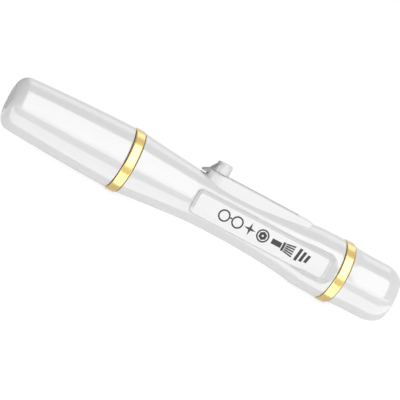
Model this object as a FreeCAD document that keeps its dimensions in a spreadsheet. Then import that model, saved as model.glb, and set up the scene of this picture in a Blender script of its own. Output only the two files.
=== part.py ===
"""Lens cleaning pen: capped carbon tip at one end, retractable brush with a thumb slider at the other.

Every size is in millimetres and lives in the spreadsheet "Sizes". Stations along the pen are
measured from the closed end of the cap; heights and radii are measured from the pen's axis.
The finished pen lies along X with its middle at X = 0 and rests on its two bands at Z = 0.
"""
import FreeCAD, Part
import math
import os
import Sketcher

V = FreeCAD.Vector
doc = FreeCAD.newDocument("LensCleaningPen")


# ---------------------------------------------------------------- driving sizes

class Size:
    """A number that remembers the spreadsheet formula it came from."""

    def __init__(self, text, value):
        self.text, self.value = text, float(value)

    @staticmethod
    def of(other):
        return other if isinstance(other, Size) else Size(repr(float(other)), other)

    def _join(self, other, sign, value):
        return Size(f"({self.text} {sign} {Size.of(other).text})", value)

    def __add__(self, other):
        return self._join(other, "+", self.value + Size.of(other).value)

    def __sub__(self, other):
        return self._join(other, "-", self.value - Size.of(other).value)

    def __mul__(self, other):
        return self._join(other, "*", self.value * Size.of(other).value)

    def __truediv__(self, other):
        return self._join(other, "/", self.value / Size.of(other).value)

    def __neg__(self):
        return Size(f"(0 - {self.text})", -self.value)


sheet = doc.addObject("Spreadsheet::Sheet", "Sizes")
row = 0


def size(alias, value, note):
    """Write one driving size into the sheet and hand it back."""
    global row
    row += 1
    sheet.set(f"A{row}", note)
    sheet.set(f"B{row}", str(value))
    sheet.setAlias(f"B{row}", alias)
    return Size(f"Sizes.{alias}", value)


band_radius = size("band_radius", 9.0, "outside of the two bands")
band_width = size("band_width", 3.2, "each band along the pen")
band_wall = size("band_wall", 1.6, "band thickness")
band_edge = size("band_edge", 0.4, "rounded edge of a band")
band_flat = size("band_flat", 0.11, "depth of the flat under each band that stops the pen rolling")
axis_height = band_radius - band_flat
seam = size("seam", 0.2, "visible joint line between neighbours")
slip = size("slip", 0.05, "radial clearance of a running fit")
fit = size("fit", 0.02, "radial clearance of a glued fit")


def inside_band(alias, depth, note):
    """A height or radius given by how far it lies inside the bands' outside."""
    return band_radius - size(alias, depth, f"{note}, inside the band radius")


def past(base, alias, distance, note):
    """A station that lies a named distance beyond another one."""
    return base + size(alias, distance, note)


# the four lengths that follow one another along the pen
cap_length = size("cap_length", 33.0, "cap along the pen")
barrel_length = size("barrel_length", 62.2, "barrel between its bands")
nozzle_length = size("nozzle_length", 15.4, "nozzle beyond its band")
barrel_start = cap_length + band_width
barrel_end = barrel_start + barrel_length
nozzle_start = barrel_end + band_width
overall_length = nozzle_start + nozzle_length

cap_face_radius = size("cap_face_radius", 4.3, "flat of the closed end")
cap_shoulder_radius = inside_band("cap_shoulder_depth", 1.45, "cap just past its rounded end")
cap_round = size("cap_round", 3.1, "length of the rounded end")
cap_middle_radius = inside_band("cap_middle_depth", 0.63, "cap halfway along")
cap_mouth_radius = inside_band("cap_mouth_depth", 0.2, "cap at its open end")
cap_end_wall = size("cap_end_wall", 2.7, "thickness of the closed end")
disc_radius = size("disc_radius", 3.9, "inlaid disc in the closed end")
disc_depth = size("disc_depth", 1.0, "depth of the inlaid disc")
cup_radius = size("cup_radius", 5.9, "outside of the carbon cup")
cup_wall = size("cup_wall", 0.8, "carbon cup wall")
cup_end = past(cap_end_wall, "cup_depth", 4.5, "carbon cup along the pen")
pad_face = cup_end - size("pad_setback", 0.3, "carbon pad face below the cup rim")
liner_radius = size("liner_radius", 7.2, "outside of the cap liner")
liner_bore = size("liner_bore", 6.4, "inside of the cap liner")
relief_radius = past(liner_bore, "relief_depth", 0.2, "room round the tip, beyond the liner bore")
liner_start = size("liner_start", 9.5, "inner end of the cap liner")
bead_station = cap_length - size("bead_setback", 3.5, "retaining bead from the cap mouth")
bead_width = size("bead_width", 1.0, "retaining bead along the pen")
bead_height = size("bead_height", 0.3, "retaining bead above the liner")

face_station = past(cup_end, "face_gap", 1.2, "cleaning face beyond the carbon cup")
tip_radius = size("tip_radius", 4.95, "outside of the cleaning tip")
skin = size("skin", 0.45, "thickness of the chamois skin")
dish = size("dish", 0.7, "hollow of the cleaning face")
head_station = past(face_station, "cushion_depth", 2.2, "foam between face and tip head")
head_end = past(head_station, "head_length", 3.0, "stiff tip head along the pen")
neck_radius = size("neck_radius", 1.4, "flexible neck")
ball_station = cap_length - size("ball_setback", 11.0, "centre about which the neck flexes")
ball_radius = size("ball_radius", 2.4, "rounded root of the neck")

holder_face = cap_length - size("holder_reach", 15.4, "tip holder into the cap")
holder_radius = liner_bore - size("grip_play", 0.07, "clearance of the collar that the liner grips")
holder_plug = size("holder_plug", 6.6, "plug glued into the barrel")
holder_end = past(barrel_start, "plug_length", 6.8, "plug along the pen")
carrier_relief = size("plug_bore", 4.2, "bore of that plug")

bore_radius = size("bore_radius", 5.4, "bore of the barrel")
spigot_radius = band_radius - band_wall - fit  # runs under the band and into the nozzle
spigot_bore = past(bore_radius, "spigot_step", 0.6, "bore of that spigot, beyond the barrel bore")
spigot_end = past(nozzle_start, "spigot_reach", 4.4, "spigot into the nozzle")

rail_height = inside_band("rail_depth", 0.3, "top of the slider rail")
rail_half = size("rail_half", 4.2, "half width of the slider rail")
rail_nose = past(barrel_start, "rail_nose", 19.3, "round nose of the rail on the barrel")
rail_tail = past(barrel_start, "rail_tail", 51.7, "blunt end of the rail against the flare")
rail_edge = size("rail_edge", 0.35, "rounded top edge of the rail")
channel_half = size("channel_half", 1.6, "half width of the rail channel")
channel_floor = rail_height - size("channel_depth", 1.45, "rail channel below the rail top")
slot_half = size("slot_half", 1.2, "half width of the slot to the bore")
stroke = size("stroke", 20.0, "travel of the thumb slider")

panel_start = past(barrel_start, "panel_start", 18.4, "label plate, cap side")
panel_end = past(barrel_start, "panel_end", 59.7, "label plate, brush side")
panel_half = size("panel_half", 3.4, "half height of the label plate")
panel_plane = inside_band("panel_depth", 1.15, "face of the label plate")
panel_corner = size("panel_corner", 1.4, "corner radius of the label plate")
panel_bevel = size("panel_bevel", 0.8, "bevel round the label plate")
panel_groove = size("panel_groove", 0.1, "fine groove round the label plate")
panel_rim = size("panel_rim", 0.25, "raised border outside the groove")
rim_plane = inside_band("rim_depth", 2.2, "top of that border")
panel_floor = rim_plane - size("pocket_depth", 0.5, "pocket that holds the plate")
recess_slope = size("recess_slope", 40.0, "degrees that the recess walls lean out in the flare")

knob_centre = past(barrel_start, "knob_centre", 23.05, "axis of the round thumb knob")
knob_radius = size("knob_radius", 2.25, "thumb knob")
knob_end = knob_centre + knob_radius
knob_height = past(rail_height, "knob_rise", 3.1, "thumb knob above the rail")
knob_round = size("knob_round", 0.7, "rounded top edge of the knob")
toe_start = knob_centre - size("toe_reach", 5.15, "tip of the low toe in front of the knob")
toe_height = past(rail_height, "toe_rise", 0.3, "toe above the rail")
toe_length = size("toe_length", 2.2, "toe in front of the ribs")
ramp_half = size("ramp_half", 1.7, "half width of the ribbed ramp")
ramp_rib = size("ramp_rib", 0.28, "run of one rib of the ramp")
ramp_step = size("ramp_step", 0.4, "rise of one rib of the ramp")
sled_half = channel_half - size("channel_play", 0.15, "clearance of the sled in the channel")
sled_height = rail_height - size("sled_depth", 0.3, "sled below the rail top")
sled_nose = size("sled_nose", 0.7, "rounded tip of the toe")
sled_lift = size("sled_lift", 0.2, "air under the sled")
tongue_half = slot_half - size("slot_play", 0.25, "clearance of the tongue in the slot")
tongue_start = knob_centre - size("tongue_reach", 1.25, "tongue in front of the knob's axis")
tongue_length = size("tongue_length", 3.0, "tongue along the pen")
tongue_foot = size("tongue_foot", 1.4, "lowest point of the tongue above the axis")
slot_start = tongue_start - size("slot_margin", 0.5, "slot beyond the tongue")

hair_end = overall_length - size("hair_setback", 6.0, "end of the hair, drawn in behind the mouth")
hair_length = size("hair_length", 15.0, "hair beyond the ferrule")
hair_belly = size("hair_belly", 4.7, "widest radius of the hair")
ferrule_end = hair_end - hair_length
hair_root = ferrule_end - size("hair_grip", 5.0, "hair inside the ferrule")
carrier_end = ferrule_end - size("ferrule_length", 12.0, "ferrule along the pen")
carrier_start = past(barrel_start, "carrier_start", 13.8, "brush carrier on the barrel")
carrier_radius = bore_radius - size("carrier_play", 0.1, "clearance of the carrier's bearing collars")
carrier_waist = size("carrier_waist", 3.7, "slim part of the carrier")
collar_width = size("collar_width", 3.0, "each bearing collar")
pin_radius = size("pin_radius", 0.6, "cross pin through the tongue")
ferrule_radius = size("ferrule_radius", 4.0, "brush ferrule")
ferrule_wall = size("ferrule_wall", 0.4, "brush ferrule wall")

nozzle_root_radius = inside_band("nozzle_root_depth", 0.4, "nozzle at the band")
nozzle_radius = inside_band("nozzle_depth", 0.8, "nozzle at its mouth")
nozzle_bore = size("nozzle_bore", 6.0, "mouth of the nozzle")
nozzle_round = size("nozzle_round", 4.5, "length of the rounded end of the nozzle")
nozzle_drop = size("nozzle_drop", 1.5, "how far that rounding draws in")
nozzle_edge = size("nozzle_edge", 0.15, "softened edges of the mouth")
doc.recompute()

RIBS = 4  # on the thumb ramp
BARREL_OUTLINE = (  # share of the barrel's length, depth inside the band radius
    (0, 0.28), (0.064, 0.63), (0.17, 1.24), (0.277, 1.84), (0.342, 2.1), (0.423, 2.17),
    (0.503, 2.14), (0.592, 1.98), (0.704, 1.58), (0.768, 1.26), (0.817, 0.93), (0.854, 0.55),
    (0.889, 0.32), (0.929, 0.28), (1, 0.28),
)
nodes = []


# ---------------------------------------------------------------- modelling helpers

def bind(thing, prop, amount):
    """Give a property its value and tie it to the sheet."""
    if "." not in prop:
        setattr(thing, prop, amount.value)
    thing.setExpression(prop, amount.text)


def new_body(name, station):
    """A body whose own origin sits on the pen's axis at the given station."""
    body = doc.addObject("PartDesign::Body", name)
    body.Label = name
    bind(body, "Placement.Base.x", station - overall_length / 2)
    bind(body, "Placement.Base.z", axis_height)
    nodes.append(body)
    return body


def new_sketch(body, role, name):
    """An empty sketch on one of the body's own origin planes."""
    sketch = body.newObject("Sketcher::SketchObject", name)
    plane = [p for p in body.Origin.OriginFeatures if p.Role == role][0]
    sketch.AttachmentSupport = (plane, [""])
    sketch.MapMode = "FlatFace"
    return sketch


def pin_point(sketch, geometry, end, x, y):
    """Hold one end of a curve at a place given by two sizes."""
    for kind, amount in (("DistanceX", x), ("DistanceY", y)):
        k = sketch.addConstraint(Sketcher.Constraint(kind, -1, 1, geometry, end, amount.value))
        sketch.setExpression(f"Constraints[{k}]", amount.text)


def outline(sketch, points):
    """Close a loop through the points: (x, y) is a straight run, (mid x, mid y, x, y) an arc."""
    points = [tuple(Size.of(c) for c in p) for p in points]
    ends = [(p[-2], p[-1]) for p in points]
    for i, p in enumerate(points):
        start, stop = ends[i - 1], ends[i]
        a, b = V(start[0].value, start[1].value, 0), V(stop[0].value, stop[1].value, 0)
        if len(p) == 2:
            g = sketch.addGeometry(Part.LineSegment(a, b), False)
            first, last = 1, 2
        else:
            mid = V(p[0].value, p[1].value, 0)
            g = sketch.addGeometry(Part.Arc(a, mid, b), False)
            flipped = sketch.getPoint(g, 1).distanceToPoint(a) > sketch.getPoint(g, 2).distanceToPoint(a)
            first, last = (2, 1) if flipped else (1, 2)
            m = sketch.addGeometry(Part.Point(mid), True)
            pin_point(sketch, m, 1, p[0], p[1])
            sketch.addConstraint(Sketcher.Constraint("PointOnObject", m, 1, g))
        pin_point(sketch, g, first, *start)
        pin_point(sketch, g, last, *stop)
    return sketch


def volume(body):
    doc.recompute()
    return body.Shape.Volume


def turned(body, station, points, cut=False):
    """Spin a (station, radius) outline round the pen's axis, adding to or cutting the body."""
    count = len(body.Group)
    sketch = new_sketch(body, "XY_Plane", f"{body.Name}_profile{count}")
    outline(sketch, [tuple(Size.of(c) - station if k % 2 == 0 else Size.of(c)
                           for k, c in enumerate(p)) for p in points])
    before = volume(body) if count else 0.0
    kind = "PartDesign::Groove" if cut else "PartDesign::Revolution"
    feature = body.newObject(kind, f"{body.Name}_turn{count}")
    feature.Profile = sketch
    feature.ReferenceAxis = (sketch, ["H_Axis"])
    feature.Angle = 360
    after = volume(body)
    if count and (after < before) != cut:
        raise RuntimeError(f"{feature.Name} changed the volume the wrong way")
    return feature


def tube(station, start, end, outer, inner):
    """Outline points of a plain tube."""
    return [(start, inner), (start, outer), (end, outer), (end, inner)]


def extruded(body, station, role, points, low, high, cut=False):
    """Push an outline out along its plane's normal from height low to height high."""
    count = len(body.Group)
    sketch = new_sketch(body, role, f"{body.Name}_plan{count}")
    bind(sketch, "AttachmentOffset.Base.z", Size.of(low))
    outline(sketch, [tuple(Size.of(c) - station if k % 2 == 0 else Size.of(c)
                           for k, c in enumerate(p)) for p in points])
    before = volume(body) if count else 0.0
    kind = "PartDesign::Pocket" if cut else "PartDesign::Pad"
    feature = body.newObject(kind, f"{body.Name}_block{count}")
    feature.Profile = sketch
    bind(feature, "Length", Size.of(high) - Size.of(low))
    feature.Reversed = cut
    after = volume(body)
    if count and (after < before) != cut:
        raise RuntimeError(f"{feature.Name} changed the volume the wrong way")
    return feature


def rectangle(x0, x1, y0, y1):
    return [(x0, y0), (x1, y0), (x1, y1), (x0, y1)]


def round_hole(x, z, radius):
    """A circle as two half-circle arcs."""
    return [(x, z + radius, x + radius, z), (x, z - radius, x - radius, z)]


def rounded(x0, x1, half, corner):
    """A rectangle centred on the axis with round corners, as outline points."""
    bulge = corner * (1 - math.sqrt(0.5))
    return [
        (x1 - corner, -half), (x1 - bulge, bulge - half, x1, corner - half),
        (x1, half - corner), (x1 - bulge, half - bulge, x1 - corner, half),
        (x0 + corner, half), (x0 + bulge, half - bulge, x0, half - corner),
        (x0, corner - half), (x0 + bulge, bulge - half, x0 + corner, -half),
    ]


def soften(body, kind, radius, chosen):
    """Fillet or chamfer the tip shape's edges picked by a test on the edge."""
    doc.recompute()
    base = body.Tip
    names = [f"Edge{i + 1}" for i, e in enumerate(base.Shape.Edges) if chosen(e)]
    if not names:
        raise RuntimeError(f"no edges to soften on {body.Name}")
    feature = body.newObject(f"PartDesign::{kind}", f"{body.Name}_{kind.lower()}{len(body.Group)}")
    feature.Base = (base, names)
    bind(feature, "Radius" if kind == "Fillet" else "Size", radius)
    doc.recompute()
    return feature


def circle_at(x, radius):
    """Test for a full-circle edge round the pen's axis at local station x with that radius."""
    def chosen(edge):
        box = edge.BoundBox
        return box.XLength < 1e-4 and abs(box.XMin - x) < 0.02 and abs(box.YMax - radius) < 0.02 \
            and abs(box.YMin + radius) < 0.02
    return chosen


# ---------------------------------------------------------------- cap

cap = new_body("cap_shell", Size.of(0))
middle = (cap_round + cap_length) / 2
corner_x = cap_round * 0.295
corner_r = cap_face_radius + (cap_shoulder_radius - cap_face_radius) * 0.688
turned(cap, Size.of(0), [
    (0, 0), (0, cap_face_radius), (corner_x, corner_r, cap_round, cap_shoulder_radius),
    (middle, cap_middle_radius, cap_length, cap_mouth_radius), (cap_length, 0)])
turned(cap, Size.of(0), [
    (cap_end_wall, 0), (cap_end_wall, cup_radius + fit), (cup_end, cup_radius + fit),
    (cup_end, relief_radius), (liner_start - seam, relief_radius),
    (liner_start - seam, liner_radius + slip), (bead_station - seam, liner_radius + slip),
    (bead_station - seam, liner_radius + bead_height + slip),
    (bead_station + bead_width + seam, liner_radius + bead_height + slip),
    (bead_station + bead_width + seam, liner_radius + slip),
    (cap_length, liner_radius + slip), (cap_length, 0)], cut=True)
turned(cap, Size.of(0), tube(0, Size.of(0), disc_depth, disc_radius + fit, Size.of(0)), cut=True)
soften(cap, "Fillet", size("cap_mouth_edge", 0.25, "rounded open edge of the cap"),
       circle_at(cap_length.value, cap_mouth_radius.value))

disc = new_body("cap_end_disc", Size.of(0))
turned(disc, Size.of(0), [
    (seam * 0.5, 0), (seam * 0.5, disc_radius), (disc_depth, disc_radius), (disc_depth, 0)])
soften(disc, "Fillet", size("disc_edge", 0.15, "rounded edge of the end disc"),
       circle_at(seam.value * 0.5, disc_radius.value))

cup = new_body("carbon_cup", cap_end_wall)
turned(cup, cap_end_wall, [
    (cap_end_wall, 0), (cap_end_wall, cup_radius), (cup_end, cup_radius),
    (cup_end, cup_radius - cup_wall), (cap_end_wall + cup_wall, cup_radius - cup_wall),
    (cap_end_wall + cup_wall, 0)])

pad = new_body("carbon_pad", cap_end_wall + cup_wall)
pad_crown = size("pad_crown", 0.35, "rise of the carbon pad's domed face")
pad_radius = cup_radius - cup_wall - fit
centre_flat = size("centre_flat", 0.5, "flat spot in the middle of each curved face")
turned(pad, cap_end_wall + cup_wall, [
    (cap_end_wall + cup_wall, 0), (cap_end_wall + cup_wall, pad_radius),
    (pad_face - pad_crown, pad_radius),
    (pad_face - pad_crown * 0.25, pad_radius * 0.5, pad_face, centre_flat), (pad_face, 0)])

liner = new_body("cap_liner", liner_start)
turned(liner, liner_start, [
    (liner_start, liner_bore), (liner_start, liner_radius), (bead_station, liner_radius),
    (bead_station, liner_radius + bead_height), (bead_station + bead_width, liner_radius + bead_height),
    (bead_station + bead_width, liner_radius), (cap_length - seam, liner_radius),
    (cap_length - seam, liner_bore)])

# ---------------------------------------------------------------- cleaning tip

chamois = new_body("tip_chamois", face_station)
skin_end = head_station + 1.2
turned(chamois, face_station, [
    (face_station + dish, 0), (face_station + dish, centre_flat),
    (face_station + dish * 0.75, tip_radius * 0.45, face_station, tip_radius * 0.9),
    (face_station + 0.15, tip_radius * 0.98, face_station + 0.5, tip_radius),
    (skin_end, tip_radius), (skin_end, tip_radius - skin), (face_station + 0.6, tip_radius - skin),
    (face_station + dish * 0.75 + skin, tip_radius * 0.42, face_station + dish + skin, centre_flat),
    (face_station + dish + skin, 0)])

cushion = new_body("tip_cushion", face_station)
cushion_radius = tip_radius - skin - fit
turned(cushion, face_station, [
    (head_station, 0), (head_station, cushion_radius), (face_station + 0.66, cushion_radius),
    (face_station + dish * 0.75 + skin + fit, tip_radius * 0.42,
     face_station + dish + skin + fit, centre_flat),
    (face_station + dish + skin + fit, 0)])

head = new_body("tip_head", head_station)
head_edge = size("head_edge", 0.6, "rounded back edge of the tip head")
boss_radius = size("boss_radius", 2.3, "boss behind the tip head")
boss_end = size("boss_end", 15.2, "end of that boss")
turned(head, head_station, [
    (head_station + fit, 0), (head_station + fit, cushion_radius), (skin_end + fit, cushion_radius),
    (skin_end + fit, tip_radius), (head_end - head_edge, tip_radius),
    (head_end - head_edge * 0.29, tip_radius - head_edge * 0.29, head_end, tip_radius - head_edge),
    (head_end, boss_radius), (boss_end, boss_radius * 0.85), (boss_end, 0)])
turned(head, head_station, tube(0, head_end - 1, boss_end, neck_radius + fit, Size.of(0)), cut=True)

neck = new_body("tip_neck", ball_station)
reach = (ball_radius * ball_radius.value - neck_radius * neck_radius.value).value ** 0.5
turned(neck, ball_station, [
    (head_end - 1 + fit, 0), (head_end - 1 + fit, neck_radius), (ball_station - reach, neck_radius),
    (ball_station, ball_radius, ball_station + reach, neck_radius), (ball_station + reach, 0)])

holder = new_body("tip_holder", holder_face)
lip_station = ball_station - reach - 0.6
socket_end = ball_station + ball_radius + 0.1
turned(holder, holder_face, [
    (holder_face, 0), (holder_face, holder_radius), (cap_length + seam, holder_radius),
    (cap_length + seam, band_radius - band_wall - fit), (barrel_start, band_radius - band_wall - fit),
    (barrel_start, holder_plug), (holder_end, holder_plug), (holder_end, 0)])
turned(holder, holder_face, [
    (holder_face, 0), (holder_face, neck_radius * 2.4), (lip_station - 0.7, neck_radius * 1.4),
    (lip_station, neck_radius * 1.4), (lip_station, ball_radius + slip), (socket_end, ball_radius + slip),
    (socket_end, 0)], cut=True)
turned(holder, holder_face, tube(0, cap_length, holder_end, carrier_relief, Size.of(0)), cut=True)
soften(holder, "Fillet", size("holder_edge", 0.5, "rounded front edge of the collar"),
       circle_at(0, holder_radius.value))

# ---------------------------------------------------------------- barrel

barrel = new_body("barrel_shell", barrel_start)
rings = []
for k, (share, depth) in enumerate(BARREL_OUTLINE):
    at = barrel_length * size(f"ring_share_{k}", share, "barrel outline, share of its length")
    out = inside_band(f"ring_depth_{k}", depth, "barrel outline")
    doc.recompute()
    ring = new_sketch(barrel, "YZ_Plane", f"ring_{k}")
    bind(ring, "AttachmentOffset.Base.z", at)
    g = ring.addGeometry(Part.Circle(V(0, 0, 0), V(0, 0, 1), out.value), False)
    ring.addConstraint(Sketcher.Constraint("Coincident", g, 3, -1, 1))
    c = ring.addConstraint(Sketcher.Constraint("Radius", g, out.value))
    ring.setExpression(f"Constraints[{c}]", out.text)
    rings.append(ring)
loft = barrel.newObject("PartDesign::AdditiveLoft", "barrel_form")
loft.Profile = rings[0]
loft.Sections = rings[1:]
loft.Ruled = False
doc.recompute()

turned(barrel, barrel_start, tube(0, barrel_end - 1, spigot_end, spigot_radius, Size.of(0)))

flank = (  # half plan of the rail: round nose, long bulging flank, blunt tail; arcs give their middle too
    (rail_nose + 0.45, 1.75, rail_nose + 2.1, 3.2), (rail_nose + 3.3, 3.8, rail_nose + 4.8, rail_half - 0.1),
    (rail_nose + 11.5, rail_half + 0.15, rail_nose + 18.5, rail_half),
    (rail_nose + 25, rail_half - 0.38, rail_tail - 1.1, rail_half - 0.7),
    (rail_tail - 0.3, rail_half - 1.05, rail_tail, rail_half - 1.8))
corners = [(rail_nose, Size.of(0))] + [(p[2], p[3]) for p in flank]
mirrored = [(p[0], -p[1], corner[0], -corner[1]) for p, corner in zip(flank, corners)]
rail_points = list(flank) + [(corners[-1][0], -corners[-1][1])] + mirrored[::-1]
extruded(barrel, barrel_start, "XY_Plane", rail_points, bore_radius - 1, rail_height)
soften(barrel, "Fillet", rail_edge,
       lambda e: e.BoundBox.ZLength < 1e-4 and abs(e.BoundBox.ZMin - rail_height.value) < 0.01)

# the XZ plane's normal is -Y, the side the label faces
panel_out = panel_groove + panel_rim
rim = rounded(panel_start - panel_out, panel_end + panel_out,
              panel_half + panel_out, panel_corner + panel_out)
extruded(barrel, barrel_start, "XZ_Plane", rim, bore_radius - 0.6, rim_plane)
recess = extruded(barrel, barrel_start, "XZ_Plane", rim, rim_plane, rim_plane + 3, cut=True)
bind(recess, "TaperAngle", recess_slope)
extruded(barrel, barrel_start, "XZ_Plane",
         rounded(panel_start - panel_groove, panel_end + panel_groove, panel_half + panel_groove,
                 panel_corner + panel_groove),
         panel_floor, rim_plane + 3, cut=True)

turned(barrel, barrel_start, tube(0, barrel_start, spigot_end, bore_radius, Size.of(0)), cut=True)
turned(barrel, barrel_start,
       tube(0, barrel_start, holder_end + seam, holder_plug + fit, Size.of(0)), cut=True)
turned(barrel, barrel_start, tube(0, barrel_end, spigot_end, spigot_bore, Size.of(0)), cut=True)
extruded(barrel, barrel_start, "XY_Plane",
         rectangle(rail_nose - 4, knob_end + stroke + 2, -channel_half, channel_half),
         channel_floor, rail_height + 2, cut=True)
extruded(barrel, barrel_start, "XY_Plane",
         rectangle(slot_start, tongue_start + tongue_length + stroke + 0.5, -slot_half, slot_half),
         Size.of(2), rail_height + 2, cut=True)

plate = new_body("label_plate", panel_start)
extruded(plate, panel_start, "XZ_Plane", rounded(panel_start, panel_end, panel_half, panel_corner),
         panel_floor, panel_plane)
soften(plate, "Chamfer", panel_bevel,
       lambda e: e.BoundBox.YLength < 1e-4 and abs(e.BoundBox.YMin + panel_plane.value) < 0.01)

for name, start in (("cap_end_band", cap_length + seam), ("brush_end_band", barrel_end + seam)):
    band = new_body(name, start)
    width = band_width - seam * 2
    turned(band, start, tube(0, start, start + width, band_radius, band_radius - band_wall))
    for x in (0, width.value):
        soften(band, "Fillet", band_edge, circle_at(x, band_radius.value))
    extruded(band, start, "XY_Plane", rectangle(start - 1, start + width + 1, -band_radius, band_radius),
             -band_radius - 1, -axis_height, cut=True)

nozzle = new_body("nozzle_sleeve", nozzle_start)
turned(nozzle, nozzle_start, [
    (nozzle_start, spigot_radius + fit), (nozzle_start, nozzle_root_radius),
    (nozzle_start + 2.6, nozzle_radius + 0.12, nozzle_start + 6.5, nozzle_radius),
    (overall_length - nozzle_round, nozzle_radius),
    (overall_length - nozzle_round * 0.42, nozzle_radius - nozzle_drop * 0.31,
     overall_length, nozzle_radius - nozzle_drop),
    (overall_length, nozzle_bore), (spigot_end + seam, nozzle_bore),
    (spigot_end + seam, spigot_radius + fit)])
for rim_radius in (nozzle_radius - nozzle_drop, nozzle_bore):
    soften(nozzle, "Fillet", nozzle_edge, circle_at((overall_length - nozzle_start).value, rim_radius.value))

# ---------------------------------------------------------------- brush slide

button = new_body("thumb_button", toe_start)
under = channel_floor + sled_lift
ramp_foot = toe_start + toe_length
sled_end = knob_end + 1
grip_back = knob_centre + knob_radius * 0.6
extruded(button, toe_start, "XZ_Plane", [  # toe and sled seen from the side
    (toe_start, under),
    (toe_start + sled_nose * 0.3, under + sled_nose * 0.6, toe_start + sled_nose, under + sled_nose),
    (ramp_foot, toe_height), (grip_back, toe_height), (grip_back, sled_height),
    (sled_end, sled_height), (sled_end, under)], -sled_half, sled_half)
knob_foot = toe_height - 0.1
ramp = [(ramp_foot, knob_foot)]
for k in range(RIBS):  # each rib is a small round step up the thumb ramp
    x0, z0 = ramp_foot + ramp_rib * k, toe_height + ramp_step * k
    ramp.append((x0, z0))
    ramp.append((x0 - ramp_rib * 0.25, z0 + ramp_step * 0.55, x0 + ramp_rib * 0.75, z0 + ramp_step * 0.9))
extruded(button, toe_start, "XZ_Plane",
         ramp + [(knob_centre, z0 + ramp_step * 0.9), (knob_centre, knob_foot)], -ramp_half, ramp_half)
extruded(button, toe_start, "XY_Plane", round_hole(knob_centre, Size.of(0), knob_radius),
         knob_foot, knob_height)
soften(button, "Fillet", knob_round,
       lambda e: e.BoundBox.ZLength < 1e-4 and abs(e.BoundBox.ZMin - knob_height.value) < 0.01)
extruded(button, toe_start, "XZ_Plane",
         rectangle(tongue_start, tongue_start + tongue_length, tongue_foot, under + 0.5),
         -tongue_half, tongue_half)
pin_x = tongue_start + tongue_length / 2
pin_z = tongue_foot + 1.2
extruded(button, toe_start, "XZ_Plane", round_hole(pin_x, pin_z, pin_radius + fit),
         -tongue_half - 1, tongue_half + 1, cut=True)

carrier = new_body("brush_carrier", carrier_start)
front_start = carrier_end - collar_width
grip_end = tongue_start + tongue_length + 2
turned(carrier, carrier_start, [
    (carrier_start, 0), (carrier_start, carrier_radius), (carrier_start + collar_width, carrier_radius),
    (carrier_start + collar_width, carrier_waist), (tongue_start - 2, carrier_waist),
    (tongue_start - 2, carrier_waist + 0.6), (grip_end, carrier_waist + 0.6), (grip_end, carrier_waist),
    (front_start, carrier_waist), (front_start, carrier_radius), (carrier_end, carrier_radius),
    (carrier_end, ferrule_radius - ferrule_wall - fit),
    (hair_root - seam, ferrule_radius - ferrule_wall - fit), (hair_root - seam, 0)])
extruded(carrier, carrier_start, "XY_Plane",
         rectangle(tongue_start - slip, tongue_start + tongue_length + slip,
                   -tongue_half - slip, tongue_half + slip),
         tongue_foot - slip, carrier_radius + 1, cut=True)
extruded(carrier, carrier_start, "XZ_Plane", round_hole(pin_x, pin_z, pin_radius + fit),
         -carrier_radius, carrier_radius, cut=True)
spring_bed = size("spring_bed", 3.0, "flat under the carrier for the detent spring")
extruded(carrier, carrier_start, "XZ_Plane",
         rectangle(grip_end + 1, front_start - 1, -carrier_radius, -spring_bed),
         -carrier_radius, carrier_radius, cut=True)

pin = new_body("carrier_pin", pin_x)
pin_half = size("pin_half", 3.0, "half length of the cross pin")
extruded(pin, pin_x, "XZ_Plane", round_hole(pin_x, pin_z, pin_radius), -pin_half, pin_half)

spring = new_body("detent_spring", grip_end + 1.5)
leaf = size("leaf", 0.25, "thickness of the leaf spring")
leaf_half = size("leaf_half", 1.5, "half width of the leaf spring")
s0, s1 = grip_end + 1.5, front_start - 1.5
s_mid = (s0 + s1) / 2
bow = bore_radius - 0.2
extruded(spring, s0, "XZ_Plane", [
    (s0, -spring_bed - fit), (s0, -spring_bed - fit - leaf), (s0 + 2, -spring_bed - fit - leaf),
    (s_mid, -bow, s1 - 2, -spring_bed - fit - leaf), (s1, -spring_bed - fit - leaf),
    (s1, -spring_bed - fit), (s1 - 2, -spring_bed - fit),
    (s_mid, -bow + leaf, s0 + 2, -spring_bed - fit)], -leaf_half, leaf_half)

ferrule = new_body("brush_ferrule", carrier_end)
turned(ferrule, carrier_end, [
    (carrier_end + 0.1, ferrule_radius - ferrule_wall), (carrier_end + 0.1, ferrule_radius),
    (carrier_end + 4.2, ferrule_radius),
    (carrier_end + 4.8, ferrule_radius - 0.18, carrier_end + 5.4, ferrule_radius),
    (carrier_end + 6.4, ferrule_radius),
    (carrier_end + 7.0, ferrule_radius - 0.18, carrier_end + 7.6, ferrule_radius),
    (ferrule_end, ferrule_radius), (ferrule_end, ferrule_radius - ferrule_wall)])

tuft = new_body("brush_tuft", hair_root)
hair_bottom = ferrule_radius - ferrule_wall - fit
turned(tuft, hair_root, [
    (hair_root, 0), (hair_root, hair_bottom), (ferrule_end, hair_bottom),
    (ferrule_end + 4, hair_belly - 0.25, ferrule_end + 8.5, hair_belly),
    (hair_end - 2.6, hair_belly - 0.45), (hair_end - 0.6, hair_belly * 0.62, hair_end, centre_flat),
    (hair_end, 0)])

# ---------------------------------------------------------------- check and export

doc.recompute()
for thing in doc.Objects:
    if "Invalid" in thing.State or "Error" in thing.State:
        raise RuntimeError(f"{thing.Name} did not build: {thing.State}")
os.makedirs("parts", exist_ok=True)
for body in nodes:
    if body.Shape.isNull() or not body.Shape.isValid() or len(body.Shape.Solids) != 1:
        raise RuntimeError(f"{body.Label} is not one sound solid")
    body.Shape.exportStep(f"parts/{body.Label}.step")
    print(f"{body.Label:16s} {body.Shape.Volume:9.1f} mm3")
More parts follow.
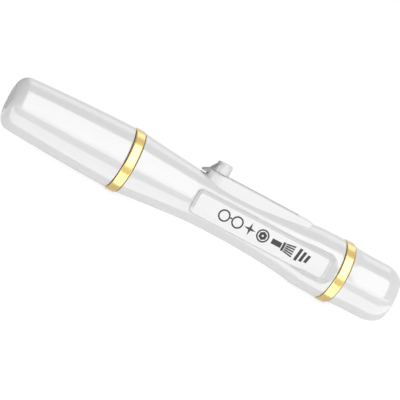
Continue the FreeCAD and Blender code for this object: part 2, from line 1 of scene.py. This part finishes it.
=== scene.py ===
# %% [markdown]
# # A lens cleaning pen
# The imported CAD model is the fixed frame: every hard moulding already has its true shape and size.
# This lesson dresses it. The steps are the finishes (gloss mouldings, plated bands, inner pieces),
# the soft pieces that CAD only blocked out (hair, felt, skin), the printed plate, and a small studio.
# Places and overall sizes are read from the frame, so the looks follow the design if it changes. Only
# small details, such as a rim's roll or the width of a printed line, have numbers of their own.

# %% Load the frame
import math
import random

import bpy
from mathutils import Matrix, Vector


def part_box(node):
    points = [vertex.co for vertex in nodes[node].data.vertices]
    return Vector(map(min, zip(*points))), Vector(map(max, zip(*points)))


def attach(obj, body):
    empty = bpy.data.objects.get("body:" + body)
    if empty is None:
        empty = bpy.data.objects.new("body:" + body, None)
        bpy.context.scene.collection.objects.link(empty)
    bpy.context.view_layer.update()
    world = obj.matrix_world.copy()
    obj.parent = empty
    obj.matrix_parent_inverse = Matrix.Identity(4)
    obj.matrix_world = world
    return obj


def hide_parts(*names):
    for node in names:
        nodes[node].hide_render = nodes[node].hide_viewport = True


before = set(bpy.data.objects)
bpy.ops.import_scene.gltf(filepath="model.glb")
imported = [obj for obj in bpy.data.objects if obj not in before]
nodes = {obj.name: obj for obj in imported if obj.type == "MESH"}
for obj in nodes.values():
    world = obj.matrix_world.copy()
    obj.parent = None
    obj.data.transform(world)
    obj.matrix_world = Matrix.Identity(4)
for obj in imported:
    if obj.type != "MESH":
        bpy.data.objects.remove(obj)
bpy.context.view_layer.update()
MM = 0.001
sleeve_low, sleeve_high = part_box("nozzle_sleeve")
AXIS_HEIGHT = (sleeve_low.z + sleeve_high.z) / 2
print("the pen's axis lies", round(AXIS_HEIGHT / MM, 2), "mm above the table")

# %% [markdown]
# Shader sums read better as plain arithmetic. A small class wraps a socket so that `1 - mask` or
# `noise * 0.2` adds the Math nodes, and one method adds every other kind of node.

# %% Write shader sums as Python


class Wire:
    """One output socket that can be added, subtracted and multiplied like a number."""

    def __init__(self, tree, socket):
        self.tree, self.socket = tree, socket

    def math(self, operation, *others):
        node = self.tree.nodes.new("ShaderNodeMath")
        node.operation = operation
        for k, value in enumerate(others):
            plug(self.tree, value, node.inputs[k])
        return Wire(self.tree, node.outputs[0])

    def __add__(self, other):
        return self.math("ADD", self, other)

    def __sub__(self, other):
        return self.math("SUBTRACT", self, other)

    def __rsub__(self, other):
        return self.math("SUBTRACT", other, self)

    def __mul__(self, other):
        return self.math("MULTIPLY", self, other)

    __radd__ = __add__
    __rmul__ = __mul__


def plug(tree, value, target):
    """Link a wire to a socket, or set the socket to a plain value."""
    if isinstance(value, Wire):
        tree.links.new(value.socket, target)
    else:
        target.default_value = value


class Finish:
    """A material under construction, with its main shader and a method that adds nodes."""

    def __init__(self, name, colour, roughness, **settings):
        self.material = bpy.data.materials.new(name)
        self.material.use_nodes = True
        self.tree = self.material.node_tree
        self.shader = self.tree.nodes["Principled BSDF"]
        self.shader.inputs["Base Color"].default_value = (*colour, 1)
        self.shader.inputs["Roughness"].default_value = roughness
        for socket, value in settings.items():
            self.shader.inputs[socket.replace("_", " ")].default_value = value
        self.material.diffuse_color = (*colour, 1)
        self.place = self.node("ShaderNodeTexCoord", out="Object")

    def node(self, kind, out=0, stops=None, settings=None, **inputs):
        """Add a node of one kind, set it up, fill its sockets, and hand back one output."""
        node = self.tree.nodes.new(kind)
        for key, value in (settings or {}).items():
            setattr(node, key, value)
        if stops:
            ramp = node.color_ramp
            while len(ramp.elements) < len(stops):
                ramp.elements.new(0.5)
            for element, (at, shade) in zip(ramp.elements, stops):
                element.position, element.color = at, (*shade, 1)
        for socket, value in inputs.items():
            plug(self.tree, value, node.inputs[socket.replace("_", " ")])
        return Wire(self.tree, node.outputs[out])

    def noise(self, scale, detail=3.0, stretch=None):
        """Cloudy noise fixed to the piece. Stretch squeezes it more along some axes than others."""
        where = self.place
        if stretch:
            where = self.node("ShaderNodeMapping", Vector=where, Scale=stretch)
        return self.node("ShaderNodeTexNoise", out="Fac", Vector=where, Scale=scale, Detail=detail)

    def part(self, axis):
        """One coordinate of the place on the piece, in metres."""
        return self.node("ShaderNodeSeparateXYZ", out=axis, Vector=self.place)

    def step(self, value, start, end):
        """A smooth rise from 0 at start to 1 at end."""
        smooth = {"interpolation_type": "SMOOTHSTEP"}
        return self.node("ShaderNodeMapRange", out="Result", settings=smooth,
                         Value=value, From_Min=start, From_Max=end)

    def set(self, socket, value):
        """Feed one socket of the main shader."""
        plug(self.tree, value, self.shader.inputs[socket])

    def bump(self, height, distance):
        """Ripple the skin by a wire, distance metres deep."""
        self.set("Normal", self.node("ShaderNodeBump", out="Normal", Height=height, Distance=distance))

    def tint(self, factor, dark, light):
        """Blend the base colour between two shades by a wire."""
        shades = [(0, dark), (1, light)]
        self.set("Base Color", self.node("ShaderNodeValToRGB", out="Color", stops=shades, Fac=factor))


def dress(finish, *names):
    """Give CAD nodes a finish in place of their plain one."""
    for name in names:
        slots = nodes[name].data.materials
        slots.clear()
        slots.append(finish.material)
    print(f"{finish.material.name}: {', '.join(names)}")


# %% [markdown]
# The long mouldings are glossy white plastic. A perfect mirror finish looks false, so the skin gets
# a very faint orange-peel ripple and slightly cloudy roughness, as injection moulding leaves.

# %% Gloss white mouldings
gloss = Finish("gloss white moulding", (0.80, 0.80, 0.81), 0.16,
               IOR=1.55, Coat_Weight=1.0, Coat_Roughness=0.05)
cloud = gloss.noise(160.0, 4.0)
gloss.set("Roughness", 0.13 + cloud * 0.08)
gloss.bump(gloss.noise(420.0, 2.0), 0.012 * MM)
gloss.tint(gloss.noise(60.0, 2.0), (0.785, 0.786, 0.798), (0.815, 0.815, 0.822))
dress(gloss, "cap_shell", "cap_end_disc", "barrel_shell", "nozzle_sleeve", "label_plate")

# %% [markdown]
# The holder that the cap grips is the same white plastic from a less polished mould, so that fingers
# and the liner don't slip on it. Inside the cap the liner is a softer grey plastic. Both are seen only
# with the cap off, and both are plain rough skins with a little variation, which is all they have.

# %% Satin white and grey inner mouldings
satin = Finish("satin white moulding", (0.74, 0.74, 0.75), 0.35, IOR=1.5)
satin.set("Roughness", 0.3 + satin.noise(300.0) * 0.15)
satin.bump(satin.noise(900.0), 0.01 * MM)
dress(satin, "tip_holder")

liner_grey = Finish("grey liner moulding", (0.42, 0.42, 0.44), 0.45)
liner_grey.set("Roughness", 0.4 + liner_grey.noise(500.0) * 0.2)
dress(liner_grey, "cap_liner")

# %% [markdown]
# The bands are plated. The plating is metal, so its colour comes from the base colour itself, with
# fine turning marks that run round the band: noise squeezed along the pen makes thin hoops. A clear
# lacquer lies over it. Its index is set high, so that the middle of a highlight turns nearly white.

# %% Plated bands
gold = Finish("gold plating", (0.74, 0.52, 0.10), 0.2, Metallic=1.0,
              Coat_Weight=1.0, Coat_IOR=2.15, Coat_Roughness=0.12)
hoops = gold.noise(140.0, 4.0, stretch=(40.0, 1.0, 1.0))
gold.set("Roughness", 0.18 + hoops * 0.12)
gold.bump(hoops, 0.006 * MM)
gold.tint(gold.noise(250.0), (0.70, 0.47, 0.07), (0.78, 0.56, 0.13))
dress(gold, "cap_end_band", "brush_end_band")

# %% [markdown]
# The inner pieces are a bench's usual mix. The carbon cup, the tip's head and the brush carrier are
# matt black plastic that doesn't show carbon dust. The neck is rubber, the pin and the leaf spring are
# drawn steel with a fine grain, and the ferrule is rolled aluminium, whose grain runs round it.

# %% Dark inner mouldings, steel and aluminium
black = Finish("matte black moulding", (0.02, 0.02, 0.021), 0.5)
black.set("Roughness", 0.45 + black.noise(700.0) * 0.2)
black.bump(black.noise(1500.0), 0.02 * MM)
dress(black, "carbon_cup", "tip_head", "brush_carrier")

rubber = Finish("neck rubber", (0.035, 0.035, 0.037), 0.6)
rubber.set("Roughness", 0.55 + rubber.noise(900.0) * 0.2)
dress(rubber, "tip_neck")

steel = Finish("bright steel", (0.58, 0.58, 0.6), 0.28, Metallic=1.0)
steel.set("Roughness", 0.22 + steel.noise(300.0, 3.0, stretch=(1.0, 20.0, 20.0)) * 0.2)
dress(steel, "carrier_pin", "detent_spring")

aluminium = Finish("rolled aluminium", (0.72, 0.72, 0.73), 0.3, Metallic=1.0)
aluminium.set("Roughness", 0.22 + aluminium.noise(160.0, 3.0, stretch=(30.0, 1.0, 1.0)) * 0.2)
dress(aluminium, "brush_ferrule")

# %% [markdown]
# The thumb slider has two skins from one mould: the round knob is polished, and the toe and the ribs in front
# of it are spark-eroded for grip, so they are rough.
# The toe and ribs are also tinted a darker, mottled grey as painted shade, for faces that turn away from the
# light.
# A mask on Object X fades from one skin to the other just in front of the knob, and drives both the painted
# shade and the roughness.

# %% Thumb slider finish
GRIP_LENGTH = 3.3 * MM
FADE = 0.5 * MM
grip_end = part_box("thumb_button")[0].x + GRIP_LENGTH
slider = Finish("thumb slider", (0.78, 0.78, 0.79), 0.2,
                IOR=1.52, Coat_Weight=0.7, Coat_Roughness=0.08)
grip_and_painted_shade = 1 - slider.step(slider.part("X"), grip_end - FADE, grip_end + FADE)
# painted shade: the toe and ribs are darkened to a mottled grey where their faces turn from the light
painted_shade_mottle = slider.noise(700.0) * 0.3 + 0.7
slider.tint(grip_and_painted_shade * painted_shade_mottle, (0.78, 0.78, 0.79), (0.30, 0.30, 0.29))
slider.set("Roughness", 0.16 + slider.noise(500.0) * 0.06 + grip_and_painted_shade * 0.4)
slider.set("Coat Weight", 0.7 - grip_and_painted_shade * 0.65)
slider.bump(slider.noise(2200.0), 0.02 * MM)
dress(slider, "thumb_button")
print("slider fades to its grip at", round(grip_end / MM, 1), "mm")

# %% [markdown]
# Modelling by operators is modelling by hand, in code: each operator acts on what is selected, so a
# step starts by deselecting everything. Most soft pieces of a pen are round, so one helper spins an
# outline round the pen's axis. Another closes each piece off: it names it, puts its place into its
# mesh, gives it its finish and tells the frame which body carries it. A third rounds off the pads.

# %% Helpers for modelling with operators


def start_clean():
    """Leave edit mode and deselect everything, because operators act on all that is selected."""
    if bpy.context.object and bpy.context.object.mode != "OBJECT":
        bpy.ops.object.mode_set(mode="OBJECT")
    bpy.ops.object.select_all(action="DESELECT")


def settle(piece, name, finish, body, slot, *replaced):
    """Name a finished piece, put its place into its mesh, and hand it to the frame."""
    start_clean()
    piece.select_set(True)
    bpy.context.view_layer.objects.active = piece
    bpy.ops.object.transform_apply(location=True, rotation=True, scale=True)
    piece.name = piece.data.name = name
    piece.data.materials.clear()
    piece.data.materials.append(finish.material)
    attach(piece, body)
    if replaced:
        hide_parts(*replaced)
    bpy.context.view_layer.update()
    size = [round(edge / MM, 1) for edge in piece.dimensions]
    print(f"{name}: {len(piece.data.polygons)} faces, {size} mm")


SPIN_STEPS = 48
CREASE = math.radians(50)


def spun(stations):
    """Spin an outline of (x, radius) places round the pen's axis.

    A plane merged to one point is the start; the point is extruded along the outline and spun shut.
    An outline begins and ends on the axis, so that both poles close when doubles are merged.
    """
    start_clean()
    bpy.ops.mesh.primitive_plane_add(size=MM, location=(0, 0, 0))
    piece = bpy.context.active_object
    bpy.ops.object.mode_set(mode="EDIT")
    bpy.ops.mesh.select_all(action="SELECT")
    bpy.ops.mesh.merge(type="CENTER")
    bpy.ops.transform.translate(value=(stations[0][0], 0, stations[0][1]))
    for here, there in zip(stations, stations[1:]):
        step = (there[0] - here[0], 0, there[1] - here[1])
        bpy.ops.mesh.extrude_region_move(TRANSFORM_OT_translate={"value": step})
    bpy.ops.mesh.select_all(action="SELECT")
    bpy.ops.mesh.spin(steps=SPIN_STEPS, angle=math.tau, center=(0, 0, 0), axis=(1, 0, 0))
    bpy.ops.mesh.select_all(action="SELECT")
    bpy.ops.mesh.remove_doubles(threshold=0.002 * MM)
    bpy.ops.mesh.normals_make_consistent(inside=False)
    bpy.ops.object.mode_set(mode="OBJECT")
    piece.location = (0, 0, AXIS_HEIGHT)
    bpy.ops.object.shade_smooth_by_angle(angle=CREASE)
    return piece


def round_off(piece):
    """Turn a coarse soft shape into a smooth one."""
    rounding = piece.modifiers.new("rounding", "SUBSURF")
    rounding.levels = rounding.render_levels = 2
    bpy.ops.object.modifier_apply(modifier=rounding.name)


# %% [markdown]
# On the real pen the tuft is several hundred hairs glued into the ferrule: they swell to a belly, then
# close to a round dome. A solid with a hairy texture would look like a cork, so real hairs are made.
# One hair is extruded from a small square in a few joints, thinner towards its tip.

# %% One hair
HAIR_WIDTH = 0.075 * MM
HAIR_JOINTS = 7
ROOT_JOINTS = 4  # joints that keep their full width
TIP_TAPER = 0.72

start_clean()
bpy.ops.mesh.primitive_circle_add(vertices=4, radius=HAIR_WIDTH / 2, fill_type="NGON",
                                  rotation=(0, math.pi / 2, 0))
one_hair = bpy.context.active_object
bpy.ops.object.transform_apply(rotation=True)
bpy.ops.object.mode_set(mode="EDIT")
bpy.ops.mesh.select_all(action="SELECT")
for joint in range(HAIR_JOINTS):
    bpy.ops.mesh.extrude_region_move(TRANSFORM_OT_translate={"value": (1.0 / HAIR_JOINTS, 0, 0)})
    taper = 1.0 if joint < ROOT_JOINTS else TIP_TAPER
    bpy.ops.transform.resize(value=(1, taper, taper))
bpy.ops.object.mode_set(mode="OBJECT")
print("one hair:", len(one_hair.data.polygons), "faces")

# %% [markdown]
# The outside of the tuft is a curve of radii along its free length. It starts inside the ferrule's
# wall, opens as soon as the metal stops squeezing it, and closes a little again near the tips.

# %% The tuft's outline
tuft_low, tuft_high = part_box("brush_tuft")
ferrule_low, ferrule_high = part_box("brush_ferrule")
rim = ferrule_high.x
free_length = tuft_high.x - rim
FERRULE_INSET = 0.5 * MM
root_radius = (ferrule_high.z - ferrule_low.z) / 2 - FERRULE_INSET
belly = (tuft_high.z - tuft_low.z) / 2
BELLY_SHARES = (0.93, 0.98, 0.985, 0.95, 0.88, 0.8)
SWELL = (root_radius, root_radius * 1.13, *(belly * share for share in BELLY_SHARES))


def swell(part):
    """Outside radius of the tuft at a share of its free length."""
    place = min(max(part, 0), 0.9999) * (len(SWELL) - 1)
    k = int(place)
    return SWELL[k] + (SWELL[k + 1] - SWELL[k]) * (place - k)


print("hair stands", round(free_length / MM, 1), "mm out of the ferrule")

# %% [markdown]
# The hair is copied about a thousand times. A turn of 2.4 radians from each to the next, with the
# distance from the middle growing as a square root, spreads them evenly, as seeds sit in a sunflower.
# Each copy is bent to the outline, with its own length and a small wander, from seeded dice.

# %% Copies of the hair
HAIRS = 1100
SUNFLOWER_TURN = 2.39996
DOME = 0.17  # how much shorter the outermost hairs are
UNEVEN = 0.07  # the most that one hair's length strays
GLUED = 0.3 * MM  # how far a root goes into the ferrule
dice = random.Random(7)
hairs = []
for k in range(HAIRS):
    share = math.sqrt((k + 0.5) / HAIRS)
    turn = k * SUNFLOWER_TURN + dice.uniform(-0.2, 0.2)
    length = free_length * (0.995 - DOME * share ** 2.2) * (1 - dice.random() ** 3 * UNEVEN)
    wander, phase = dice.uniform(0.0, 0.16) * MM, dice.uniform(0, math.tau)
    hair = one_hair.copy()
    hair.data = one_hair.data.copy()
    for v in hair.data.vertices:
        part = v.co.x
        reach = share * swell(part * length / free_length) + v.co.z
        swing = turn + v.co.y / max(reach, MM)
        drift = wander * math.sin(part * 5 + phase) * part
        v.co = (rim - GLUED + part * length,
                reach * math.sin(swing) + drift, AXIS_HEIGHT + reach * math.cos(swing) + drift * 0.6)
    bpy.context.collection.objects.link(hair)
    hairs.append(hair)
bpy.data.objects.remove(one_hair)
print(len(hairs), "hairs placed")

# %% [markdown]
# A core fills the middle of the tuft, so that light doesn't pass between the hairs. It is the same
# outline, a seventh smaller and spun round the axis. Hairs and core are then joined into one piece.

# %% Core of the tuft
CORE_STATIONS = 8
CORE_SHARE = 0.86
core_start = rim - 0.2 * MM
core_run = free_length * 0.84 + 0.2 * MM
core_outline = [(core_start, 0)]
for k in range(CORE_STATIONS):
    station = core_start + core_run * k / (CORE_STATIONS - 1)
    core_outline.append((station, CORE_SHARE * swell(k / CORE_STATIONS)))
core_outline.append((rim + free_length * 0.9, belly * 0.5))
core_outline.append((rim + free_length * 0.92, 0))
core = spun(core_outline)
start_clean()
for hair in hairs:
    hair.select_set(True)
core.select_set(True)
bpy.context.view_layer.objects.active = core
bpy.ops.object.transform_apply(location=True, rotation=False, scale=False)
bpy.ops.object.join()

hair_finish = Finish("dark natural hair", (0.035, 0.026, 0.02), 0.45, IOR=1.55)
streak = hair_finish.noise(900.0, 3.0, stretch=(0.12, 1.0, 1.0))
hair_finish.tint(streak, (0.012, 0.009, 0.007), (0.075, 0.052, 0.038))
hair_finish.set("Roughness", 0.36 + streak * 0.2)
settle(core, "brush_hair", hair_finish, "brush_slide", "hair", "brush_tuft")

# %% [markdown]
# The carbon pad inside the cap is a felt disc. Felt is crowned, with an edge that is never crisp, so
# a short outline is spun and then subdivided, and the fuzz is a fine, deep bump over two noises.

# %% Felt carbon pad
pad_low, pad_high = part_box("carbon_pad")
pad_radius = (pad_high.z - pad_low.z) / 2
pad_depth = pad_high.x - pad_low.x
felt_pad = spun([
    (pad_low.x, 0), (pad_low.x, pad_radius * 0.97),
    (pad_low.x + pad_depth * 0.2, pad_radius), (pad_low.x + pad_depth * 0.72, pad_radius),
    (pad_low.x + pad_depth * 0.9, pad_radius * 0.93), (pad_low.x + pad_depth * 0.96, pad_radius * 0.7),
    (pad_high.x, pad_radius * 0.3), (pad_high.x, 0)])
round_off(felt_pad)
felt = Finish("carbon felt", (0.014, 0.014, 0.015), 0.95, Sheen_Weight=0.25, Sheen_Roughness=0.5)
fuzz = felt.noise(2600.0, 6.0)
felt.bump(fuzz + felt.noise(700.0) * 0.8, 0.12 * MM)
felt.tint(fuzz, (0.006, 0.006, 0.0065), (0.032, 0.032, 0.034))
settle(felt_pad, "carbon_felt_pad", felt, "cap", "carbon_felt", "carbon_pad")

# %% [markdown]
# The cleaning face is soft skin drawn over a foam disc and round its edge. Its front is slightly
# dished, to sit on a curved lens. The skin and the foam under it move as one, so they are one piece:
# a dish, a rolled rim, a skirt, and a narrow turned-in hem.

# %% Cleaning face
skin_low, skin_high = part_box("tip_chamois")
foam_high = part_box("tip_cushion")[1]
skin_radius = (skin_high.z - skin_low.z) / 2
face = skin_low.x
cleaning_face = spun([
    (foam_high.x, 0), (foam_high.x, skin_radius * 0.9), (skin_high.x - 0.05 * MM, skin_radius * 0.92),
    (skin_high.x, skin_radius * 0.96), (skin_high.x - 0.15 * MM, skin_radius), (face + 1.1 * MM, skin_radius),
    (face + 0.45 * MM, skin_radius * 0.99), (face + 0.1 * MM, skin_radius * 0.95), (face, skin_radius * 0.88),
    (face + 0.12 * MM, skin_radius * 0.74), (face + 0.4 * MM, skin_radius * 0.5),
    (face + 0.62 * MM, skin_radius * 0.25), (face + 0.7 * MM, 0)])
round_off(cleaning_face)
suede = Finish("carbon-dark chamois", (0.04, 0.038, 0.036), 0.9, Sheen_Weight=0.4, Sheen_Roughness=0.4)
nap = suede.noise(1900.0, 5.0)
pores = suede.node("ShaderNodeTexVoronoi", out="Distance", Vector=suede.place, Scale=2400.0)
suede.bump(nap + pores * 0.6, 0.06 * MM)
suede.tint(nap, (0.018, 0.017, 0.016), (0.085, 0.08, 0.075))
settle(cleaning_face, "cleaning_face", suede, "tip", "chamois", "tip_chamois", "tip_cushion")

# %% [markdown]
# The label is pad-printed in near-black ink: a flat mark with crisp edges. Each sign is cut from a
# disc or a plane, laid against the plate and given the thickness of a coat of ink. The marks are
# plain pictures of what the pen is for: glasses, a glint, a camera lens, a brush and its strokes.

# %% Printed pictograms
plate_low, plate_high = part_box("label_plate")
INK = 0.02 * MM
MARK_HEIGHT = 3.65 * MM
MARK_HALF_LENGTH = 13.3 * MM
mark_left = (plate_low.x + plate_high.x) / 2 - MARK_HALF_LENGTH
marks = []
print("plate is", round((plate_high.x - plate_low.x) / MM, 1), "mm long")


def disc(x, z, radius, corners=40, hole=0.0):
    """A flat disc or ring of ink that faces the reader, at x along and z up the mark."""
    start_clean()
    bpy.ops.mesh.primitive_circle_add(vertices=corners, radius=radius, fill_type="NGON",
                                      location=(mark_left + x, plate_low.y, AXIS_HEIGHT + z),
                                      rotation=(math.pi / 2, 0, 0))
    piece = bpy.context.active_object
    bpy.ops.object.transform_apply(location=True, rotation=True)
    if hole:
        bpy.ops.object.mode_set(mode="EDIT")
        bpy.ops.mesh.select_all(action="SELECT")
        bpy.ops.mesh.inset(thickness=radius - hole)
        bpy.ops.mesh.delete(type="FACE")
        bpy.ops.object.mode_set(mode="OBJECT")
    marks.append(piece)
    return piece


def bar(x0, x1, z0, z1, lean=0.0):
    """A flat bar of ink. lean slides its top along."""
    start_clean()
    bpy.ops.mesh.primitive_plane_add(size=1, rotation=(math.pi / 2, 0, 0))
    piece = bpy.context.active_object
    bpy.ops.object.transform_apply(rotation=True)
    for v in piece.data.vertices:
        far, high = v.co.x > 0, v.co.z > 0
        v.co = (mark_left + (x1 if far else x0) + (lean if high else 0), plate_low.y,
                AXIS_HEIGHT + (z1 if high else z0))
    marks.append(piece)
    return piece


# %% [markdown]
# The five signs are laid out from left to right, each from a few discs and bars. The numbers are
# distances along the mark, as a printer would set them out on film.

# %% Lay out the signs
half = MARK_HEIGHT / 2
line = 0.42 * MM
eye = 1.7 * MM
gap = 0.65 * MM

# spectacles: two rims and a bridge
for x in (eye, eye * 3 + gap):
    disc(x, 0, eye, hole=eye - line)
bar(2 * eye + 0.03 * MM, 2 * eye + gap - 0.03 * MM, 0, line)

# glint: an eight-cornered disc with every second corner drawn in
glint_at = 9.6 * MM
GLINT_WAIST = 0.26
glint = disc(glint_at, 0, half, corners=8)
glint_centre = Vector((mark_left + glint_at, plate_low.y, AXIS_HEIGHT))
for k, v in enumerate(glint.data.vertices):
    if k % 2:
        v.co = glint_centre + (v.co - glint_centre) * GLINT_WAIST

# lens: a thin barrel ring round a bold iris with a six-sided stop
lens_at = 13.6 * MM
disc(lens_at, 0, half, hole=half - line)
disc(lens_at, 0, half * 0.66, corners=6, hole=half * 0.24)

# brush: bold handle, ferrule and spread bristles
bar(16.4 * MM, 19.3 * MM, -0.75 * MM, 0.75 * MM)
bar(19.6 * MM, 20.3 * MM, -1.25 * MM, 1.25 * MM)
BRISTLES = 5
for k in range(BRISTLES):
    low = -1.25 * MM + k * 0.52 * MM
    bristle = bar(20.5 * MM, 23.2 * MM, low, low + line)
    for v in bristle.data.vertices:
        if v.co.x > mark_left + 22 * MM:  # its far end fans out
            v.co.z += (k - BRISTLES // 2) * 0.2 * MM

# strokes: three bold leaning bars that grow shorter
for k in range(3):
    x = (24.0 + k * 1.4) * MM
    shorter = k * 0.35 * MM
    bar(x, x + 0.85 * MM, -half + shorter, half - shorter, lean=0.45 * MM)

print(len(marks), "shapes in the mark")

# %% Join the signs and give them a coat of ink
start_clean()
for piece in marks:
    piece.select_set(True)
bpy.context.view_layer.objects.active = marks[0]
bpy.ops.object.join()
print_mark = bpy.context.active_object
coat = print_mark.modifiers.new("coat of ink", "SOLIDIFY")
coat.thickness, coat.offset = INK, 1.0
bpy.ops.object.modifier_apply(modifier=coat.name)
ink = Finish("black pad-printing ink", (0.012, 0.012, 0.014), 0.35)
ink.set("Roughness", 0.3 + ink.noise(2500.0) * 0.25)
ink.bump(ink.noise(4000.0), 0.004 * MM)
settle(print_mark, "printed_pictograms", ink, "barrel", "label")

# %% [markdown]
# The camera is a long lens held a little above the pen and to the side of the cap, and rolled so that
# the pen slopes down across the picture. A long lens keeps both ends nearly the same size.

# %% Camera
EYE_ROUND = math.radians(-13.7)
EYE_UP = math.radians(5.5)
EYE_DISTANCE = 0.5715
PEN_SLOPE = math.radians(27.9)
AIM_ALONG = -1.8 * MM
AIM_RIGHT = 0.83 * MM
AIM_DOWN = 0.61 * MM

back = Vector((math.sin(EYE_ROUND) * math.cos(EYE_UP),
               -math.cos(EYE_ROUND) * math.cos(EYE_UP), math.sin(EYE_UP)))
level_right = Vector((0, 0, 1)).cross(back).normalized()
level_up = back.cross(level_right)
along = Vector((1, 0, 0))
roll = math.atan2(along.dot(level_up), along.dot(level_right)) + PEN_SLOPE
right = level_right * math.cos(roll) + level_up * math.sin(roll)
up = back.cross(right)
aim = Vector((AIM_ALONG, 0, AXIS_HEIGHT)) + right * AIM_RIGHT - up * AIM_DOWN

camera_data = bpy.data.cameras.new("camera")
camera_data.sensor_width = 36.0
camera_data.lens = 193.2
camera_data.clip_start = 0.01
camera = bpy.data.objects.new("camera", camera_data)
bpy.context.collection.objects.link(camera)
camera.location = aim + back * EYE_DISTANCE
camera.rotation_mode = "QUATERNION"
camera.rotation_quaternion = Matrix((right, up, back)).transposed().to_quaternion()
bpy.context.scene.camera = camera
print("camera stands", round(EYE_DISTANCE / MM), "mm from the pen")

# %% [markdown]
# A white pen on white is lit as a catalogue studio lights it. The table itself glows, so that it
# stays pale and fills the underside, and it glows brighter to the eye than it shines on the pen: the
# background is clean white while the pen keeps its greys.

# %% Table
start_clean()
TABLE_SIZE = 6.0
TABLE_DROP = 0.2 * MM  # the table lies a hair under the pen, so that their faces don't mix
bpy.ops.mesh.primitive_plane_add(size=TABLE_SIZE, location=(0, 0, -TABLE_DROP))
floor = bpy.context.active_object
floor.name = "floor"
table_top = Finish("pale table", (0.4, 0.4, 0.4), 0.7, Emission_Strength=1.0)
sight = table_top.node("ShaderNodeLightPath", out="Is Camera Ray")
table_top.set("Emission Color", sight * 0.2 + 0.5)
floor.data.materials.append(table_top.material)
print("table is", TABLE_SIZE, "m square")

# %% [markdown]
# On glossy plastic the lights are seen more than felt: each one draws a window along the pen. So the
# windows are lights that only the gloss sees, and one soft light, which the gloss doesn't see, shapes
# the rest. That lets the two be set apart from each other.


# %% Softboxes
def glowing_panel(name, width, height, glow):
    """A rectangular light of one brightness, whatever its size."""
    data = bpy.data.lights.new(name, "AREA")
    data.shape = "RECTANGLE"
    data.size, data.size_y, data.energy = width, height, glow * math.pi * width * height
    lamp = bpy.data.objects.new(name, data)
    bpy.context.collection.objects.link(lamp)
    return lamp


def softbox(name, elevation, distance, width, height, glow, sideways=0.0):
    """A panel that faces the pen from above the table: in front of it, or behind if distance is negative."""
    lamp = glowing_panel(name, width, height, glow)
    tilt = math.radians(elevation)
    lamp.location = (sideways, -distance * math.cos(tilt), AXIS_HEIGHT + abs(distance) * math.sin(tilt))
    toward = Vector((0, 0, AXIS_HEIGHT)) - Vector((0, *lamp.location[1:]))
    lamp.rotation_mode = "QUATERNION"
    lamp.rotation_quaternion = toward.to_track_quat("-Z", "Y")
    return lamp


main = softbox("main softbox", 34.0, 0.6, 0.60, 0.9, 2.6, sideways=0.12)
main.visible_diffuse = False
rear = softbox("rear softbox", 60.0, -0.6, 0.6, 0.3, 0.7)
rear.visible_diffuse = False
key = softbox("front soft key", 22.0, 0.6, 0.5, 0.4, 0.4, sideways=-0.05)
key.visible_glossy = False
print("softboxes: main and rear for the gloss, key for the shading")

# %% [markdown]
# Two long reflectors lie on the table in front of the pen and draw the pale strip along its lower
# half. Two grey cards stand off its cap end, because a white end against a white room has no edge
# until it has something darker to reflect.


# %% Reflectors and cards
def strip_light(name, near_edge, far_edge, length, glow):
    """A long reflector that lies on the table in front of the pen and faces up."""
    lamp = glowing_panel(name, length, far_edge - near_edge, glow)
    lamp.location = (0, -(near_edge + far_edge) / 2, 0.0001)
    lamp.rotation_euler = (math.pi, 0, 0)
    lamp.visible_diffuse = lamp.visible_camera = False


def grey_card(name, width, height, place, turn, shade):
    """A standing card that the camera and the shadows miss."""
    start_clean()
    bpy.ops.mesh.primitive_plane_add(size=1.0, location=place, rotation=(math.pi / 2, 0, turn))
    card = bpy.context.active_object
    card.name = name
    card.scale = (width, height, 1)
    card.visible_camera = card.visible_shadow = False
    card.data.materials.append(Finish(name, (shade, shade, shade), 0.9).material)


grey_card("side card", 0.5, 0.5, (-0.16, 0.02, 0.2), math.pi / 2, 0.55)
grey_card("end card", 0.08, 0.06, (-0.1, 0.06, 0.02), 0, 0.5)
strip_light("near reflector", 6.5 * MM, 17.0 * MM, 0.19, 1.5)
strip_light("far reflector", 62.0 * MM, 260.0 * MM, 0.5, 1.9)
print("two reflectors on the table, two grey cards off the cap end")

# %% [markdown]
# The room is an even white. Like the table, it is a little brighter to the eye than to the pen. The
# plain view transform keeps white as white.

# %% Room
world = bpy.data.worlds.new("room")
bpy.context.scene.world = world
world.use_nodes = True
sky = world.node_tree
glow = sky.nodes["Background"]
glow.inputs["Color"].default_value = (1, 1, 1, 1)
seen = Wire(sky, sky.nodes.new("ShaderNodeLightPath").outputs["Is Camera Ray"])
plug(sky, seen * 0.15 + 0.85, glow.inputs["Strength"])
bpy.context.scene.view_settings.view_transform = "Standard"
print("room is an even white")
